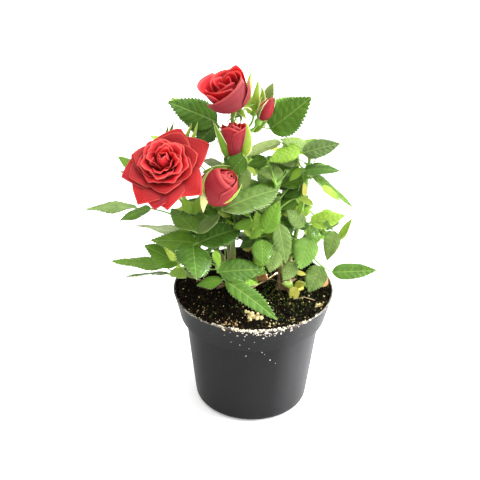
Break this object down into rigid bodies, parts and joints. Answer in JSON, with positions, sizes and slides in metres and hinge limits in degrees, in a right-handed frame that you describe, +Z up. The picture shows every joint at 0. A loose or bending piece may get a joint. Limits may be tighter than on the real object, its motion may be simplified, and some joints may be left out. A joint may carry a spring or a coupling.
{
  "type": "potted rose bush",
  "caption": "Small red-flowered rose bush with branching canes and toothed leaves, growing in a round tapered plastic pot with a rim band, to decorate a patio or sill.",
  "frame": {"origin": "centre of the pot's flat underside", "axes": "+Z up along the pot's axis, -Y towards the side with the open bloom, +X to the right of that side"},
  "size_m": [0.2169, 0.1682, 0.2754],
  "materials": {
    "pot": "satin moulded dark grey",
    "soil": "moist peat compost",
    "old_wood": "brown bark",
    "cane": "smooth green bark",
    "leaf": "semi-gloss leaf",
    "petal": "velvet petal",
    "sepal": "matt young green"
  },
  "bodies": {
    "root": {"pot": "pot", "soil": "soil", "stem_left": "old_wood", "stem_right": "old_wood", "bough_left": "cane", "bough_tall": "cane", "bough_front": "cane", "bough_back_left": "cane", "bough_centre": "cane", "bough_right": "cane", "bough_low_right": "cane", "bough_back_right": "cane", "bloom_open": "petal", "bloom_half_open": "petal", "bud_middle": "petal", "bud_lower": "petal", "bud_side": "petal", "bud_green": "sepal", "foliage_left": "leaf", "foliage_tall": "leaf", "foliage_front": "leaf", "foliage_back_left": "leaf", "foliage_centre": "leaf", "foliage_right": "leaf", "foliage_low_right": "leaf", "foliage_back_right": "leaf"}
  },
  "joints": []
}
